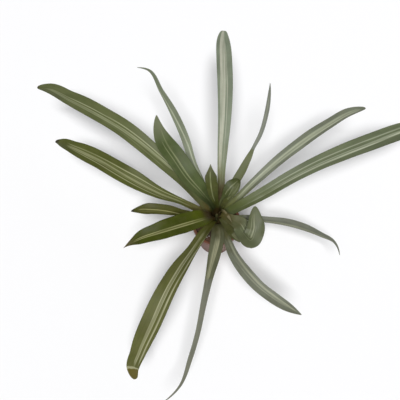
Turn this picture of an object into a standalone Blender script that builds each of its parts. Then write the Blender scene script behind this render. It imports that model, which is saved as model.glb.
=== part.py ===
"""A young striped rosette plant, rooted in bark soil in a small plastic nursery pot.

Metres, +Z up. The origin is the middle of the pot's base, on the surface that it
stands on. The plant's front faces -Y. Bearings are degrees round the pot's axis,
0 towards +X and 90 towards +Y, the back.
"""

import math
from collections import namedtuple

import bmesh
import bpy
import numpy as np
from mathutils import Vector

# Gap between pieces that touch
TOUCH = 0.0003

# Pot
POT_HEIGHT = 0.050
POT_BASE_RADIUS = 0.0195
POT_TOP_RADIUS = 0.0250
POT_WALL = 0.0012
POT_FLOOR = 0.0016
RIM_DEPTH = 0.0075
RIM_PROUD = 0.0015
RIM_ROUND = 0.0005
POT_SIDES = 48
DRAIN_COUNT = 6
DRAIN_RADIUS = 0.0024
DRAIN_RING = 0.0130

# Soil
SOIL_LEVEL = 0.0450
SOIL_DISH = 0.0012
SOIL_FLAT_RADIUS = 0.0150
SOIL_RINGS = 8
SOIL_SIDES = 40
SOIL_LUMP = 0.0009
# Waves that make the lumps: how many stand round the pot, radians for each metre
# outward, and the angle that each starts at
SOIL_WAVES = ((5, 260, 0.0), (3, -410, 1.7), (11, 700, 0.6))

# Stem that the leaves grow from
STEM_RADIUS = 0.0028
STEM_ROOT = 0.0220
STEM_HEIGHT = 0.0280
STEM_STRAIGHT = 0.0060
STEM_SHOULDER = 0.0021
STEM_CROWN = 0.0030
STEM_POINT = 0.0040
STEM_SIDES = 16

# Leaf bases stand round the stem in rings. Each ring's leaves bend out at a height
# above the soil, the innermost ring's the highest
RING_RADIUS = 0.0035
RING_PITCH = 0.0014
RING_TOP = 0.0370
RING_DROP = 0.0042

# Leaf blades. Rows of points lie closer together towards both ends of a blade
BLADE_THICKNESS = 0.0008
BLADE_ROWS = 17
ROW_CROWDING = 0.55
TIP_WIDTH = 0.0014

# A blade's fold to each side of its midrib, and the shares of its length where the
# neck's fold is reached, where it has opened out, and where it starts to close again
NECK_FOLD = math.radians(48)
MID_FOLD = math.radians(19)
END_FOLD = math.radians(24)
NECK_SHARE = 0.08
OPEN_SHARE = 0.45
CLOSE_SHARE = 0.60

# A sheath turns from its own bearing to the blade's as it leans out by this much
FULL_LEAN = 0.35
# Share of the blade's length over which its direction is measured
SLOPE_SHARE = 0.002

OLIVE = (0.105, 0.130, 0.052)
DEEP_GREEN = (0.050, 0.072, 0.018)
GREY_GREEN = (0.165, 0.190, 0.120)
DRY_TAN = (0.290, 0.215, 0.115)
STEM_GREEN = (0.090, 0.100, 0.035)
SOIL_BROWN = (0.045, 0.029, 0.018)
POT_BROWN = (0.160, 0.062, 0.034)

# A leaf's path is (bearing, reach from the axis, height above the soil, width, roll)
# at points along its midrib, from where it leaves the rosette to its tip. Roll turns
# the blade's face to its right, in degrees. Where a point gives no roll, it is 0. The
# taper is the power by which the last stretch narrows to the tip: under 0.5 is blunt,
# 1 is sharp. The first ring is the innermost, and across counts the blade's facets.
Leaf = namedtuple("Leaf", "name ring bearing sheath across taper colour path")

LEAVES = [
    Leaf("leaf_back_short", 0, 100, 0.0044, 4, 1.1, OLIVE, [
        (120, 0.0105, 0.066, 0.0110), (111, 0.020, 0.076, 0.0125), (104, 0.031, 0.0825, TIP_WIDTH)]),
    Leaf("leaf_heart_small", 0, 20, 0.0040, 4, 0.8, OLIVE, [
        (20, 0.0080, 0.0515, 0.0068), (26, 0.0148, 0.060, TIP_WIDTH)]),
    Leaf("dry_leaf_heart", 0, 318, 0.0030, 4, 0.9, DRY_TAN, [
        (320, 0.0072, 0.047, 0.0034), (313, 0.0150, 0.0485, 0.0034), (310, 0.0215, 0.0465, TIP_WIDTH)]),
    Leaf("leaf_back_left_broad", 1, 150, 0.0064, 6, 0.85, OLIVE, [
        (150, 0.017, 0.062, 0.0150), (145.5, 0.034, 0.076, 0.0195), (139, 0.054, 0.084, 0.0203),
        (135, 0.0765, 0.087, 0.0172), (126.3, 0.1045, 0.086, TIP_WIDTH)]),
    Leaf("leaf_heart_curled", 1, 56, 0.0056, 4, 0.45, DEEP_GREEN, [
        (50, 0.0145, 0.045, 0.0110), (51.5, 0.0245, 0.053, 0.0160), (51.3, 0.0355, 0.0535, TIP_WIDTH)]),
    Leaf("leaf_right_curled", 1, 316, 0.0064, 6, 0.6, OLIVE, [
        (323, 0.0175, 0.0375, 0.0120), (324.5, 0.0275, 0.0385, 0.0170), (317, 0.0375, 0.0385, 0.0190),
        (314.5, 0.0468, 0.0415, 0.0195), (325.5, 0.0452, 0.0465, 0.0190), (339, 0.0400, 0.052, 0.0140),
        (355, 0.037, 0.056, TIP_WIDTH)]),
    Leaf("leaf_left_broad", 2, 216, 0.0070, 6, 1.3, DEEP_GREEN, [
        (221, 0.0165, 0.044, 0.0165), (214.5, 0.040, 0.058, 0.0215), (211, 0.0655, 0.066, 0.0190),
        (207.5, 0.086, 0.062, 0.0130), (206, 0.103, 0.050, TIP_WIDTH)]),
    Leaf("leaf_front_small", 2, 302, 0.0060, 4, 0.7, OLIVE, [
        (305, 0.0175, 0.031, 0.0085), (304, 0.029, 0.0325, 0.0105), (305, 0.0398, 0.0315, TIP_WIDTH)]),
    Leaf("leaf_back_long", 2, 80, 0.0076, 4, 0.35, GREY_GREEN, [
        (78, 0.019, 0.043, 0.0080), (83, 0.033, 0.054, 0.0084), (84.5, 0.055, 0.067, 0.0108),
        (85, 0.084, 0.077, 0.0136), (85.9, 0.119, 0.080, 0.0162), (87, 0.1615, 0.075, 0.0174),
        (87.6, 0.204, 0.064, 0.0110), (87.5, 0.213, 0.0615, TIP_WIDTH)]),
    Leaf("leaf_back_right_twisted", 3, 58, 0.0070, 4, 0.8, GREY_GREEN, [
        (58, 0.035, 0.040, 0.0095), (57, 0.0475, 0.049, 0.0085), (58.2, 0.0625, 0.058, 0.0036, 55),
        (58.5, 0.084, 0.066, 0.0043, 15), (62, 0.111, 0.070, 0.0045), (65.3, 0.1345, 0.070, 0.0028),
        (67, 0.148, 0.068, TIP_WIDTH)]),
    Leaf("leaf_front_left_long", 3, 240, 0.0080, 6, 0.45, OLIVE, [
        (240, 0.025, 0.034, 0.0105), (240.6, 0.0525, 0.044, 0.0114), (241.3, 0.078, 0.058, 0.0158),
        (241.8, 0.102, 0.064, 0.0182), (242.3, 0.133, 0.056, 0.0200), (242.3, 0.1615, 0.038, 0.0156),
        (242.7, 0.176, 0.025, 0.0110), (244.5, 0.182, 0.016, TIP_WIDTH)]),
    Leaf("leaf_back_left_thin", 4, 118, 0.0080, 4, 0.8, GREY_GREEN, [
        (119, 0.030, 0.040, 0.0075), (119.5, 0.051, 0.056, 0.0080), (116.2, 0.0735, 0.066, 0.0088),
        (115.2, 0.102, 0.071, 0.0084), (115.3, 0.137, 0.069, 0.0052), (115.6, 0.1765, 0.061, 0.0028),
        (118, 0.188, 0.0555, TIP_WIDTH)]),
    Leaf("leaf_right_long", 4, 10, 0.0100, 6, 0.6, GREY_GREEN, [
        (6, 0.020, 0.037, 0.0120), (14.8, 0.050, 0.053, 0.0142), (19.1, 0.078, 0.062, 0.0148),
        (20.9, 0.107, 0.067, 0.0165), (22, 0.141, 0.066, 0.0183), (22.8, 0.176, 0.060, 0.0202),
        (23.5, 0.214, 0.051, 0.0200), (24, 0.255, 0.038, TIP_WIDTH)]),
    Leaf("leaf_front_thin", 4, 270, 0.0100, 4, 0.9, GREY_GREEN, [
        (270, 0.028, 0.033, 0.0150), (265, 0.0555, 0.043, 0.0122), (263.3, 0.0725, 0.048, 0.0085),
        (261.8, 0.100, 0.048, 0.0060), (260.9, 0.128, 0.038, 0.0049), (259.6, 0.149, 0.026, 0.0046),
        (257.6, 0.175, 0.010, 0.0024), (253.5, 0.193, 0.001, TIP_WIDTH)]),
    Leaf("leaf_left_back_long", 5, 145, 0.0110, 6, 0.5, OLIVE, [
        (142.3, 0.036, 0.043, 0.0118), (142.4, 0.0715, 0.064, 0.0172), (142.3, 0.119, 0.076, 0.0195),
        (142.6, 0.156, 0.073, 0.0197), (142.7, 0.199, 0.062, 0.0178), (142.7, 0.237, 0.048, 0.0114),
        (143.6, 0.250, 0.043, TIP_WIDTH)]),
    Leaf("leaf_back_right", 5, 34, 0.0090, 4, 0.55, GREY_GREEN, [
        (34, 0.026, 0.034, 0.0085), (35.4, 0.051, 0.050, 0.0100), (36.5, 0.084, 0.061, 0.0118),
        (36.8, 0.115, 0.064, 0.0128), (36.8, 0.151, 0.061, 0.0118), (36.4, 0.178, 0.056, 0.0098),
        (34.9, 0.2005, 0.0495, TIP_WIDTH)]),
    Leaf("leaf_front_right", 5, 288, 0.0090, 4, 0.8, GREY_GREEN, [
        (288, 0.031, 0.030, 0.0090), (288, 0.053, 0.038, 0.0108), (291.3, 0.072, 0.042, 0.0124),
        (295.6, 0.091, 0.041, 0.0123), (300.4, 0.1078, 0.037, 0.0118), (304.3, 0.1212, 0.032, 0.0090),
        (307.5, 0.133, 0.026, TIP_WIDTH)]),
    Leaf("leaf_left_long", 6, 163, 0.0090, 6, 0.5, OLIVE, [
        (163, 0.037, 0.032, 0.0082), (165.6, 0.061, 0.046, 0.0132), (162.2, 0.0945, 0.056, 0.0203),
        (157.9, 0.1325, 0.054, 0.0200), (155.7, 0.167, 0.046, 0.0156), (154.6, 0.189, 0.037, 0.0070),
        (154.6, 0.195, 0.034, TIP_WIDTH)]),
    Leaf("leaf_right_thin", 6, 355, 0.0080, 4, 0.8, GREY_GREEN, [
        (354.5, 0.0245, 0.022, 0.0070), (353, 0.048, 0.027, 0.0072), (353, 0.081, 0.024, 0.0088),
        (351, 0.1125, 0.012, 0.0058), (350, 0.127, 0.004, 0.0032), (346, 0.137, -0.008, TIP_WIDTH)]),
    Leaf("leaf_left_small", 7, 175, 0.0090, 4, 0.7, OLIVE, [
        (175, 0.034, 0.021, 0.0085), (176, 0.0545, 0.030, 0.0118), (177, 0.072, 0.032, 0.0128),
        (177.5, 0.0905, 0.026, TIP_WIDTH)]),
]


def clear_scene():
    for obj in list(bpy.data.objects):
        bpy.data.objects.remove(obj, do_unlink=True)


def make_collections():
    """The plant's pieces go in one collection and the cutters in another."""
    made = []
    for name in ("potted_rosette_plant", "cutters"):
        collection = bpy.data.collections.new(name)
        bpy.context.scene.collection.children.link(collection)
        made.append(collection)
    return made


def make_material(name, colour, roughness, metallic=0.0):
    material = bpy.data.materials.new(name)
    material.use_nodes = True
    shader = material.node_tree.nodes["Principled BSDF"]
    shader.inputs["Base Color"].default_value = (*colour, 1.0)
    shader.inputs["Roughness"].default_value = roughness
    shader.inputs["Metallic"].default_value = metallic
    return material


def add_object(name, mesh, collection, material=None):
    obj = bpy.data.objects.new(name, mesh)
    collection.objects.link(obj)
    if material:
        mesh.materials.append(material)
        mesh.shade_smooth()
        mesh.set_sharp_from_angle(angle=math.radians(40))
    return obj


def turn_profile(name, profile, sides, collection, material):
    """Turns a closed or axis-to-axis profile of (radius, height) points round Z."""
    mesh = bpy.data.meshes.new(name)
    points = [(radius, 0.0, height) for radius, height in profile]
    edges = [(i, i + 1) for i in range(len(points) - 1)]
    if profile[0][0] > 0:
        edges.append((len(points) - 1, 0))
    mesh.from_pydata(points, edges, [])
    obj = add_object(name, mesh, collection, material)
    screw = obj.modifiers.new("turn", "SCREW")
    screw.axis = "Z"
    screw.steps = sides
    screw.render_steps = sides
    screw.use_merge_vertices = True
    screw.merge_threshold = 0.00001
    return obj


def pot_radius(height):
    """Outer radius of the pot's tapered wall."""
    share = height / POT_HEIGHT
    return POT_BASE_RADIUS + (POT_TOP_RADIUS - POT_BASE_RADIUS) * share


def make_pot(collection, cutters):
    """A tapered nursery pot with a thicker turned rim and drain holes in its floor."""
    rim_foot = POT_HEIGHT - RIM_DEPTH
    rim_radius = POT_TOP_RADIUS + RIM_PROUD
    inner_top = POT_TOP_RADIUS - POT_WALL
    inner_foot = pot_radius(POT_FLOOR) - POT_WALL
    profile = [
        (0.0, POT_FLOOR),
        (inner_foot, POT_FLOOR),
        (inner_top, POT_HEIGHT - RIM_ROUND),
        (inner_top + RIM_ROUND, POT_HEIGHT),
        (rim_radius - RIM_ROUND, POT_HEIGHT),
        (rim_radius, POT_HEIGHT - RIM_ROUND),
        (rim_radius - RIM_ROUND, rim_foot + RIM_ROUND),
        (rim_radius - 2 * RIM_ROUND, rim_foot),
        (pot_radius(rim_foot), rim_foot),
        (pot_radius(0.0), RIM_ROUND),
        (pot_radius(0.0) - RIM_ROUND, 0.0),
        (0.0, 0.0),
    ]
    material = make_material("pot_plastic", POT_BROWN, 0.55)
    pot = turn_profile("pot", profile, POT_SIDES, collection, material)
    for i in range(DRAIN_COUNT):
        angle = 2 * math.pi * i / DRAIN_COUNT
        hole = bmesh.new()
        bmesh.ops.create_cone(
            hole,
            cap_ends=True,
            segments=16,
            radius1=DRAIN_RADIUS,
            radius2=DRAIN_RADIUS,
            depth=4 * POT_FLOOR,
        )
        mesh = bpy.data.meshes.new(f"drain_cutter_{i + 1}")
        hole.to_mesh(mesh)
        hole.free()
        cutter = add_object(mesh.name, mesh, cutters)
        cutter.location = (DRAIN_RING * math.cos(angle), DRAIN_RING * math.sin(angle), 0.0)
        cutter.hide_render = True
        cutter.display_type = "WIRE"
    cut = pot.modifiers.new("drain_holes", "BOOLEAN")
    cut.operation = "DIFFERENCE"
    cut.operand_type = "COLLECTION"
    cut.collection = cutters
    return pot


def soil_height(radius, angle):
    """Height of the soil: level round the stem, lumpy and a little dished outside."""
    edge = pot_radius(SOIL_LEVEL) - POT_WALL
    share = max(0.0, (radius - SOIL_FLAT_RADIUS) / (edge - SOIL_FLAT_RADIUS))
    lumps = sum(math.sin(turns * angle + out * radius + start) for turns, out, start in SOIL_WAVES)
    lumps *= min(1.0, len(SOIL_WAVES) * share) / 2
    return SOIL_LEVEL - SOIL_DISH * share**2 + SOIL_LUMP * lumps


def soil_radius(height):
    """Radius of the soil, just clear of the flats of the pot's many-sided wall."""
    return (pot_radius(height) - POT_WALL) * math.cos(math.pi / POT_SIDES) - TOUCH


def make_soil(collection):
    """The bark soil fills the pot to below its rim and has a plain hole for the stem."""
    foot = POT_FLOOR + TOUCH
    edge = soil_radius(SOIL_LEVEL)
    hole = STEM_RADIUS + TOUCH
    hole_floor = SOIL_LEVEL - STEM_ROOT - TOUCH
    profile = [(0.0, hole_floor), (hole, hole_floor)]
    for i in range(SOIL_RINGS + 1):
        profile.append((hole + (edge - hole) * i / SOIL_RINGS, SOIL_LEVEL))
    profile += [(soil_radius(foot), foot), (0.0, foot)]
    work = bmesh.new()
    verts = [work.verts.new((radius, 0.0, height)) for radius, height in profile]
    edges = [work.edges.new(ends) for ends in zip(verts, verts[1:])]
    bmesh.ops.spin(
        work,
        geom=verts + edges,
        axis=(0.0, 0.0, 1.0),
        cent=(0.0, 0.0, 0.0),
        angle=2 * math.pi,
        steps=SOIL_SIDES,
    )
    bmesh.ops.remove_doubles(work, verts=list(work.verts), dist=0.000001)
    for vert in work.verts:
        if vert.co.z > SOIL_LEVEL - TOUCH:
            angle = math.atan2(vert.co.y, vert.co.x)
            vert.co.z = soil_height(math.hypot(vert.co.x, vert.co.y), angle)
    bmesh.ops.triangulate(work, faces=list(work.faces))
    bmesh.ops.recalc_face_normals(work, faces=list(work.faces))
    mesh = bpy.data.meshes.new("soil")
    work.to_mesh(mesh)
    work.free()
    return add_object("soil", mesh, collection, make_material("bark_soil", SOIL_BROWN, 0.95))


def make_stem(collection):
    """The short stem: round at its top, and rooted in the hole in the soil."""
    top = SOIL_LEVEL + STEM_HEIGHT
    foot = SOIL_LEVEL - STEM_ROOT
    profile = [
        (0.0, top),
        (STEM_SHOULDER / 2, top - STEM_CROWN / 5),
        (STEM_SHOULDER, top - STEM_CROWN),
        (STEM_RADIUS, SOIL_LEVEL + STEM_STRAIGHT),
        (STEM_RADIUS, foot + STEM_POINT),
        (STEM_RADIUS / 2, foot),
        (0.0, foot),
    ]
    material = make_material("stem_skin", STEM_GREEN, 0.6)
    return turn_profile("stem", profile, STEM_SIDES, collection, material)


def smooth_curve(points, start_slope):
    """A smooth curve through points whose first three values are a place in space.

    Gives a function of a share from 0 to 1 of its length, and each point's own share.
    The values after the first three never swing past those of their points.
    """
    points = np.array(points, float)
    steps = np.linalg.norm(np.diff(points[:, :3], axis=0), axis=1)
    marks = np.concatenate([[0.0], np.cumsum(steps)])
    chords = np.diff(points, axis=0) / steps[:, None]
    slopes = np.empty_like(points)
    before = steps[:-1, None]
    after = steps[1:, None]
    slopes[1:-1] = (after * chords[:-1] + before * chords[1:]) / (before + after)
    behind, ahead = chords[:-1, 3:], chords[1:, 3:]
    limit = 3 * np.minimum(np.abs(behind), np.abs(ahead)) * (behind * ahead > 0)
    slopes[1:-1, 3:] = np.clip(slopes[1:-1, 3:], -limit, limit)
    slopes[0] = start_slope
    slopes[-1] = 2 * chords[-1] - slopes[-2]

    def at(share):
        mark = share * marks[-1]
        i = int(np.clip(np.searchsorted(marks, mark, side="right") - 1, 0, len(steps) - 1))
        t = (mark - marks[i]) / steps[i]
        near = (1 + 2 * t) * (1 - t) ** 2 * points[i] + t * (1 - t) ** 2 * steps[i] * slopes[i]
        far = t * t * (3 - 2 * t) * points[i + 1] - t * t * (1 - t) * steps[i] * slopes[i + 1]
        return near + far

    return at, marks / marks[-1]


def on_axis(bearing, reach, height):
    angle = math.radians(bearing)
    return (reach * math.cos(angle), reach * math.sin(angle), height)


def smooth_step(value):
    value = min(1.0, max(0.0, value))
    return value * value * (3 - 2 * value)


def blade_row(point, along, heading, width, fold, roll, across):
    """One row of the blade's points, on an arc folded up to both sides of the midrib."""
    side = Vector((math.sin(heading), -math.cos(heading), 0.0))
    along = along.normalized()
    side = (side - along * side.dot(along)).normalized()
    face = side.cross(along)
    turn = math.radians(roll)
    side, face = (
        side * math.cos(turn) - face * math.sin(turn),
        face * math.cos(turn) + side * math.sin(turn),
    )
    radius = 0.5 * width / fold
    row = []
    for i in range(across + 1):
        angle = fold * (2 * i / across - 1)
        sideways = side * (radius * math.sin(angle))
        row.append(point + sideways + face * (radius * (1 - math.cos(angle))))
    return row


def leaf_rows(leaf):
    """Rows of points over a leaf: its sheath round the stem, then its blade to the tip."""
    radius = RING_RADIUS + RING_PITCH * leaf.ring
    leaves_at = SOIL_LEVEL + RING_TOP - RING_DROP * leaf.ring
    foot = Vector(on_axis(leaf.bearing, radius, SOIL_LEVEL + TOUCH))
    top = on_axis(leaf.bearing, radius, leaves_at)
    stations = [(*top, leaf.sheath, 0.0)]
    for bearing, reach, height, width, *roll in leaf.path:
        place = on_axis(bearing, reach, SOIL_LEVEL + height)
        stations.append((*place, width, roll[0] if roll else 0.0))
    at, marks = smooth_curve(stations, (0.0, 0.0, 1.0, 0.0, 0.0))
    sheath_fold = 0.5 * leaf.sheath / radius
    start = math.radians(leaf.bearing)
    rows = [blade_row(foot, Vector((0, 0, 1)), start, leaf.sheath, sheath_fold, 0.0, leaf.across)]
    last_mark = marks[-2]
    last_width = stations[-2][3]
    for i in range(BLADE_ROWS + 1):
        even = i / BLADE_ROWS
        share = even + ROW_CROWDING * (0.5 - 0.5 * math.cos(math.pi * even) - even)
        here = at(share)
        ahead = at(min(1.0, share + SLOPE_SHARE))
        behind = at(max(0.0, share - SLOPE_SHARE))
        along = Vector(ahead[:3]) - Vector(behind[:3])
        if i == 0:
            along = Vector((0.0, 0.0, 1.0))
        level = smooth_step(math.hypot(along.x, along.y) / along.length / FULL_LEAN)
        heading = start
        if level > 0:
            turn = math.atan2(along.y, along.x) - start
            turn = (turn + math.pi) % (2 * math.pi) - math.pi
            heading = start + level * turn
        width = max(TIP_WIDTH, here[3])
        if share > last_mark:
            left = (1 - share) / (1 - last_mark)
            width = TIP_WIDTH + (last_width - TIP_WIDTH) * left**leaf.taper
        neck = sheath_fold + (NECK_FOLD - sheath_fold) * smooth_step(share / NECK_SHARE)
        fold = neck + (MID_FOLD - neck) * smooth_step(share / OPEN_SHARE)
        fold += (END_FOLD - MID_FOLD) * smooth_step((share - CLOSE_SHARE) / (1 - CLOSE_SHARE))
        point = Vector(here[:3])
        rows.append(blade_row(point, along, heading, width, fold, here[4], leaf.across))
    return rows


def make_leaf(leaf, collection):
    """One leaf: an open grid of triangles bent to its rows, made solid."""
    rows = leaf_rows(leaf)
    grid = bmesh.new()
    bmesh.ops.create_grid(grid, x_segments=leaf.across, y_segments=len(rows) - 1, size=1.0)
    for vert in grid.verts:
        i = round((vert.co.y + 1) / 2 * (len(rows) - 1))
        j = round((vert.co.x + 1) / 2 * leaf.across)
        vert.co = rows[i][j]
    bmesh.ops.triangulate(grid, faces=list(grid.faces), quad_method="SHORT_EDGE")
    mesh = bpy.data.meshes.new(leaf.name)
    grid.to_mesh(mesh)
    grid.free()
    obj = add_object(leaf.name, mesh, collection, make_material(leaf.name, leaf.colour, 0.45))
    solid = obj.modifiers.new("thickness", "SOLIDIFY")
    solid.thickness = BLADE_THICKNESS
    solid.offset = 0.0
    return obj


def main():
    clear_scene()
    pieces, cutters = make_collections()
    make_pot(pieces, cutters)
    make_soil(pieces)
    make_stem(pieces)
    for leaf in LEAVES:
        make_leaf(leaf, pieces)


main()
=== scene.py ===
"""The looks of a young striped rosette plant in a small plastic nursery pot.

Metres, +Z up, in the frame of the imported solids. The pot stands on z = 0 round the Z axis, and
the plant's front faces -Y. Bearings are degrees round the pot's axis, 0 towards +X and 90 towards
+Y, the back.
"""

import math
import random

import bmesh
import bpy
import numpy as np
from mathutils import Matrix, Vector, noise


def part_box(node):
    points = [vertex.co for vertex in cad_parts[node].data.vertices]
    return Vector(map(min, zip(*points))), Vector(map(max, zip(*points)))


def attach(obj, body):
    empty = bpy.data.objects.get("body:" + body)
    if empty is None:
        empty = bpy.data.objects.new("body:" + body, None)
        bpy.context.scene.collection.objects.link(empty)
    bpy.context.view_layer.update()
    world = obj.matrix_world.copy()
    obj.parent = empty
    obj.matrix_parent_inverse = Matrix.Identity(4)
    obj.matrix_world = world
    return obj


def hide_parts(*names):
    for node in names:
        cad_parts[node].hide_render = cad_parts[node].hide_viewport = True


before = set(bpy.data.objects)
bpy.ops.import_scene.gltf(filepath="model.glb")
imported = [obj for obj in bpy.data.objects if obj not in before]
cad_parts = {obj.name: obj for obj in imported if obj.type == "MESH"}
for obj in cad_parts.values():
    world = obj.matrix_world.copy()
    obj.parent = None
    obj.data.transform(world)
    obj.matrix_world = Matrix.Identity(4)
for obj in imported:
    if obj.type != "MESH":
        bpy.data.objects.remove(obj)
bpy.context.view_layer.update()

# The pot is a thin moulded nursery pot of brown plastic, turned round its axis. Its rim stands a
# little proud of its wall, its foot is a narrow ring, and six drain holes ring the solid middle
# of its floor.
pot_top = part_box("pot")[1]
POT_HEIGHT = pot_top.z
RIM_RADIUS = pot_top.x
RIM_PROUD = 0.0015
RIM_DEPTH = 0.0075
RIM_DRAFT = 0.0004
WALL_TOP = RIM_RADIUS - RIM_PROUD
WALL_FOOT = 0.0195
WALL = 0.0012
FLOOR = 0.0016
FOOT_WIDTH = 0.0022
FOOT_HEIGHT = 0.0004
LIP_ROUND = 0.0005
INSIDE_ROUND = 0.0012
HEEL_ROUND = 0.0010
STEP_ROUND = 0.0003
POT_SIDES = 144
DRAIN_COUNT = 6
DRAIN_RADIUS = 0.0024
DRAIN_RING = 0.0130
DRAIN_SIDES = 40
PUNCH_LENGTH = 6 * FLOOR
SAME_POINT = 1e-6
EDGE_CREASE = math.radians(35)


def pot_radius(height):
    """Outer radius of the pot's tapered wall."""
    return WALL_FOOT + (WALL_TOP - WALL_FOOT) * height / POT_HEIGHT


def rounded(corners, steps=5):
    """A profile through (radius, height, rounding) corners, each rounded by an arc-like curve."""
    points = []
    for i, (radius, height, rounding) in enumerate(corners):
        here = Vector((radius, 0.0, height))
        if rounding == 0:
            points.append(here)
            continue
        back = (Vector((corners[i - 1][0], 0.0, corners[i - 1][1])) - here).normalized() * rounding
        ahead = (Vector((corners[i + 1][0], 0.0, corners[i + 1][1])) - here).normalized() * rounding
        for k in range(steps + 1):
            t = k / steps
            points.append(here + back * (1 - t) ** 2 + ahead * t**2)
    return points


def turn(name, profile, sides):
    """Turns a profile that starts and ends on the Z axis into a closed, smoothly shaded body."""
    work = bmesh.new()
    verts = [work.verts.new(point) for point in profile]
    edges = [work.edges.new(ends) for ends in zip(verts, verts[1:])]
    bmesh.ops.spin(
        work, geom=verts + edges, axis=(0, 0, 1), cent=(0, 0, 0), angle=2 * math.pi, steps=sides
    )
    bmesh.ops.remove_doubles(work, verts=list(work.verts), dist=SAME_POINT)
    bmesh.ops.recalc_face_normals(work, faces=list(work.faces))
    return add_piece(name, work)


def make_object(name, work):
    """Makes a bmesh into an object in the scene."""
    mesh = bpy.data.meshes.new(name)
    work.to_mesh(mesh)
    work.free()
    made = bpy.data.objects.new(name, mesh)
    bpy.context.scene.collection.objects.link(made)
    return made


def add_piece(name, work, crease=EDGE_CREASE):
    """Makes a bmesh into a smoothly shaded piece that rides with the plant."""
    piece = make_object(name, work)
    piece.data.shade_smooth()
    piece.data.set_sharp_from_angle(angle=crease)
    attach(piece, "root")
    return piece


rim_foot = POT_HEIGHT - RIM_DEPTH
pot_profile = rounded([
    (0.0, FLOOR, 0),
    (pot_radius(FLOOR) - WALL, FLOOR, INSIDE_ROUND),
    (WALL_TOP - WALL, POT_HEIGHT, LIP_ROUND),
    (RIM_RADIUS, POT_HEIGHT, LIP_ROUND),
    (RIM_RADIUS - RIM_DRAFT, rim_foot, LIP_ROUND),
    (pot_radius(rim_foot), rim_foot, STEP_ROUND),
    (pot_radius(0.0), 0.0, HEEL_ROUND),
    (pot_radius(0.0) - FOOT_WIDTH, 0.0, STEP_ROUND),
    (pot_radius(0.0) - FOOT_WIDTH - FOOT_HEIGHT, FOOT_HEIGHT, STEP_ROUND),
    (0.0, FOOT_HEIGHT, 0),
])
pot = turn("nursery_pot", pot_profile, POT_SIDES)
for i in range(DRAIN_COUNT):
    angle = 2 * math.pi * i / DRAIN_COUNT
    work = bmesh.new()
    bmesh.ops.create_cone(
        work, cap_ends=True, segments=DRAIN_SIDES, radius1=DRAIN_RADIUS, radius2=DRAIN_RADIUS,
        depth=PUNCH_LENGTH,
    )
    punch = make_object("drain_hole", work)
    punch.location = (DRAIN_RING * math.cos(angle), DRAIN_RING * math.sin(angle), 0.0)
    cut = pot.modifiers.new("drain_hole", "BOOLEAN")
    cut.operation = "DIFFERENCE"
    cut.object = punch
    bpy.context.view_layer.update()
    cut_pot = pot.evaluated_get(bpy.context.evaluated_depsgraph_get())
    cut_mesh = bpy.data.meshes.new_from_object(cut_pot)
    pot.modifiers.remove(cut)
    pot.data = cut_mesh
    bpy.data.objects.remove(punch)
pot.data.shade_smooth()
pot.data.set_sharp_from_angle(angle=EDGE_CREASE)


def feed(tree, value, socket):
    """Links another node's output to a socket, or sets it to a number or a colour of three."""
    if isinstance(value, bpy.types.NodeSocket):
        tree.links.new(value, socket)
    else:
        socket.default_value = (*value, 1) if isinstance(value, tuple) else value


def add_node(tree, kind, inputs=None, **settings):
    """Adds a shader node with its inputs and settings."""
    made = tree.nodes.new("ShaderNode" + kind)
    for key, value in settings.items():
        setattr(made, key, value)
    for key, value in (inputs or {}).items():
        feed(tree, value, made.inputs[key])
    return made


def reckon(tree, operation, *values):
    """The output of a Math node on up to three values or sockets."""
    return add_node(tree, "Math", dict(enumerate(values)), operation=operation).outputs[0]


def ramp(tree, value, low, high, to_low=0.0, to_high=1.0):
    """A value eased from one number to another between two limits."""
    limits = {"From Min": low, "From Max": high, "To Min": to_low, "To Max": to_high}
    eased = add_node(tree, "MapRange", {"Value": value, **limits}, interpolation_type="SMOOTHSTEP")
    return eased.outputs["Result"]


def blend(tree, share, first, second, way="MIX"):
    """One colour blended into another by a share."""
    mixer = add_node(tree, "Mix", {"Factor": share}, data_type="RGBA", blend_type=way)
    for socket, value in (("A_Color", first), ("B_Color", second)):
        feed(tree, value, next(s for s in mixer.inputs if s.identifier == socket))
    return next(s for s in mixer.outputs if s.identifier == "Result_Color")


NOISE_LIMITS = (0.3, 0.7)


def speckle(tree, vector, scale, detail=3.0, roughness=0.5):
    """The value of a noise pattern, which lies mostly between the noise limits."""
    inputs = {"Vector": vector, "Scale": scale, "Detail": detail, "Roughness": roughness}
    return add_node(tree, "TexNoise", inputs).outputs[0]


def start_group(name, inputs, outputs):
    """A shader node group with named sockets, its inputs and the sockets of its outputs.

    An input is a number's label and starting value, or another kind's label and kind.
    """
    group = bpy.data.node_groups.new(name, "ShaderNodeTree")
    for label, value in inputs.items():
        kind = value if isinstance(value, str) else "Float"
        socket = group.interface.new_socket(label, in_out="INPUT", socket_type="NodeSocket" + kind)
        if kind == "Float":
            socket.default_value = value
    for label, kind in outputs.items():
        group.interface.new_socket(label, in_out="OUTPUT", socket_type="NodeSocket" + kind)
    given = group.nodes.new("NodeGroupInput").outputs
    wanted = group.nodes.new("NodeGroupOutput").inputs
    return group, given, wanted


def use_group(tree, group, **inputs):
    """Places a node group. Its inputs are named by their labels, with _ for each space."""
    made = tree.nodes.new("ShaderNodeGroup")
    made.node_tree = group
    for label, value in inputs.items():
        feed(tree, value, made.inputs[label.replace("_", " ")])
    return made.outputs


def start_material(name, roughness, gloss=0.5):
    """A material, its tree, its shader and the socket of its object coordinates."""
    material = bpy.data.materials.new(name)
    material.use_nodes = True
    tree = material.node_tree
    shader = tree.nodes["Principled BSDF"]
    shader.inputs["Roughness"].default_value = roughness
    shader.inputs["Specular IOR Level"].default_value = gloss
    place = tree.nodes.new("ShaderNodeTexCoord").outputs["Object"]
    return material, tree, shader, place


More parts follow.
